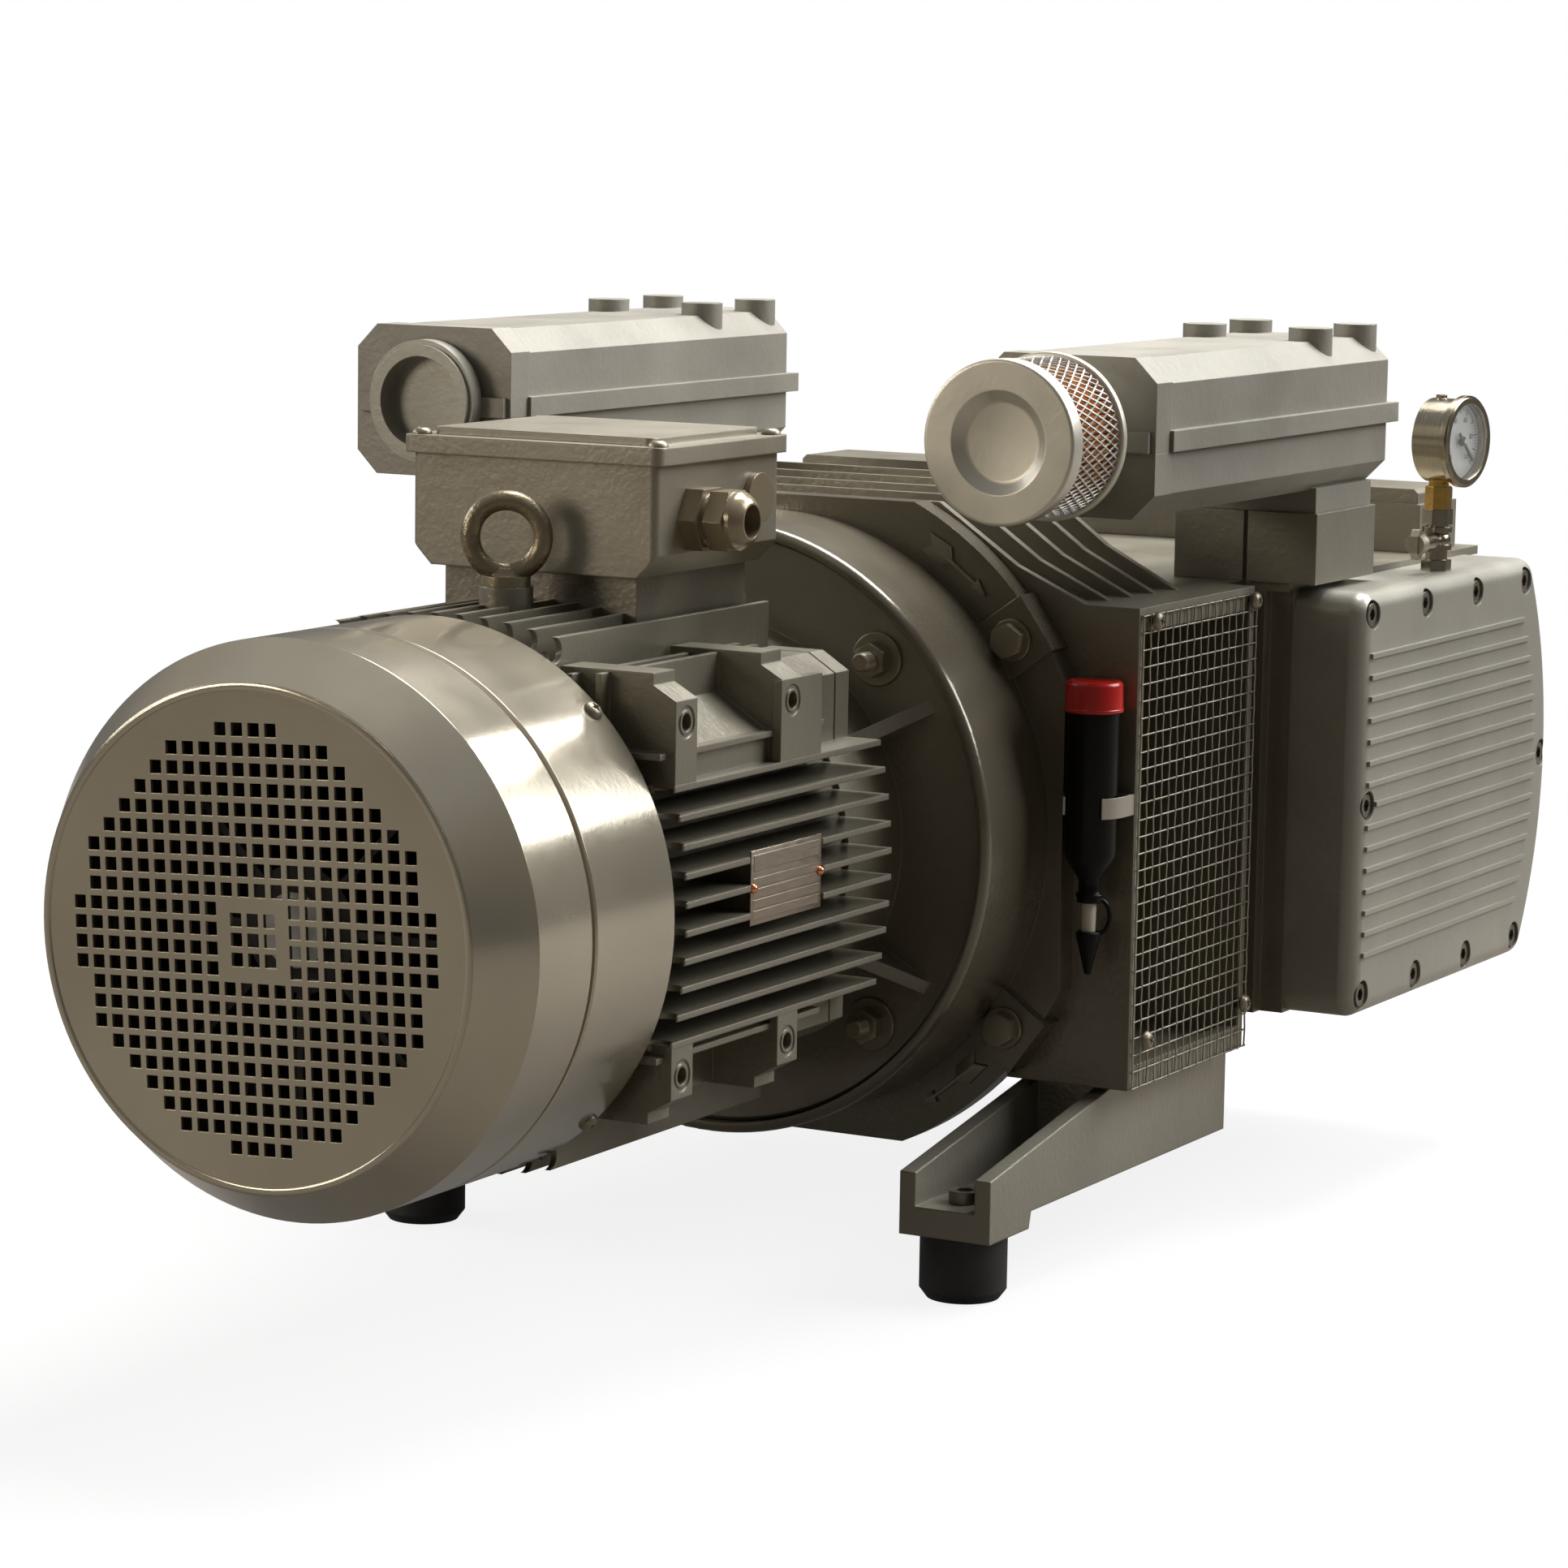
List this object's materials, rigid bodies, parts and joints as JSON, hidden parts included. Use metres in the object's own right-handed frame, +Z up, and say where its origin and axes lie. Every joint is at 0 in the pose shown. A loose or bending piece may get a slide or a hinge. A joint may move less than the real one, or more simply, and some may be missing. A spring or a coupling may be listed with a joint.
{
  "type": "vacuum pump",
  "caption": "Dry-running rotary vane vacuum pump with a flange-mounted finned motor, ribbed side covers, intake filter, gauge, legs and rubber feet.",
  "frame": {"origin": "centre of the bounding box on the floor under the rubber feet", "axes": "+Z up; +X along the motor axis, from the fan cover to the pump; -Y towards the side with the grease bottle and the gauge"},
  "size_m": [0.776, 0.4143, 0.388],
  "materials": {
    "cast_paint": "satin",
    "cover_paint": "gloss",
    "sheet_paint": "gloss",
    "box_paint": "satin",
    "plated_paint": "gloss",
    "zinc_steel": "satin",
    "dark_steel": "satin",
    "wire_steel": "satin",
    "machined_steel": "satin",
    "bare_aluminium": "matte",
    "winding_copper": "satin",
    "fan_plastic": "matte",
    "spider_rubber": "matte",
    "graphite": "matte",
    "board_plastic": "matte",
    "plate_metal": "satin",
    "filter_cap_metal": "satin",
    "filter_paper": "matte",
    "expanded_metal": "satin",
    "gauge_black": "gloss",
    "gauge_glass": "gloss",
    "pointer_black": "matte",
    "brass": "satin",
    "valve_chrome": "gloss",
    "foot_rubber": "matte",
    "bottle_black": "gloss",
    "bottle_red": "gloss"
  },
  "bodies": {
    "housing": {"motor_frame": "cast_paint", "stator_core": "winding_copper", "ball_bearings": "machined_steel", "motor_rear_shield": "cast_paint", "fan_cover": "sheet_paint", "motor_flange_shield": "cast_paint", "flange_fasteners": "zinc_steel", "terminal_box_body": "box_paint", "terminal_box_lid": "box_paint", "terminal_board": "board_plastic", "cable_gland": "plated_paint", "blanking_plug": "plated_paint", "eye_bolt": "zinc_steel", "nameplate": "plate_metal", "adapter_ring": "cast_paint", "adapter_bolts": "zinc_steel", "fan_casing": "cast_paint", "side_grille_near": "wire_steel", "side_grille_far": "wire_steel", "front_end_plate": "cast_paint", "pump_cylinder": "cast_paint", "rear_end_plate": "cast_paint", "side_cover_near": "cover_paint", "side_cover_far": "cover_paint", "cover_screws": "dark_steel", "rear_duct": "cast_paint", "pedestal_near": "cast_paint", "pedestal_far": "cast_paint", "housing_near_lower": "cover_paint", "housing_near_upper": "cover_paint", "housing_far_lower": "cover_paint", "housing_far_upper": "cover_paint", "port_plug": "cover_paint", "filter_caps": "filter_cap_metal", "filter_element": "filter_paper", "filter_screen": "expanded_metal", "gauge_case": "gauge_black", "gauge_window": "gauge_glass", "gauge_fitting": "brass", "valve_body": "valve_chrome", "leg_near": "cast_paint", "leg_far": "cast_paint", "rear_foot_bracket": "cast_paint", "rubber_feet": "foot_rubber", "foot_screws": "dark_steel", "grease_bottle": "bottle_black", "bottle_cap": "bottle_red", "bottle_tip": "bottle_black", "bottle_clip": "zinc_steel", "pan_head_screws": "zinc_steel"},
    "rotor": {"motor_rotor": "machined_steel", "motor_fan": "fan_plastic", "coupling_motor_half": "bare_aluminium", "coupling_spider": "spider_rubber", "coupling_pump_half": "bare_aluminium", "cooling_fan": "bare_aluminium", "pump_rotor": "machined_steel", "vanes": "graphite"},
    "valve_lever": {"valve_lever": "zinc_steel"},
    "gauge_pointer": {"gauge_pointer": "pointer_black"}
  },
  "joints": [
    {"name": "rotor_spin", "type": "hinge", "parent": "housing", "child": "rotor", "pos_m": [-0.036, 0, 0.18], "axis": [1, 0, 0], "continuous": true},
    {"name": "valve_lever_turn", "type": "hinge", "parent": "housing", "child": "valve_lever", "pos_m": [0.247, -0.19, 0.2875], "axis": [1, 0, 0], "range_deg": [0, 90]},
    {"name": "gauge_pointer_turn", "type": "hinge", "parent": "housing", "child": "gauge_pointer", "pos_m": [0.27344, -0.20109, 0.3333], "axis": [-0.1392, -0.9903, 0], "range_deg": [0, 270]}
  ]
}
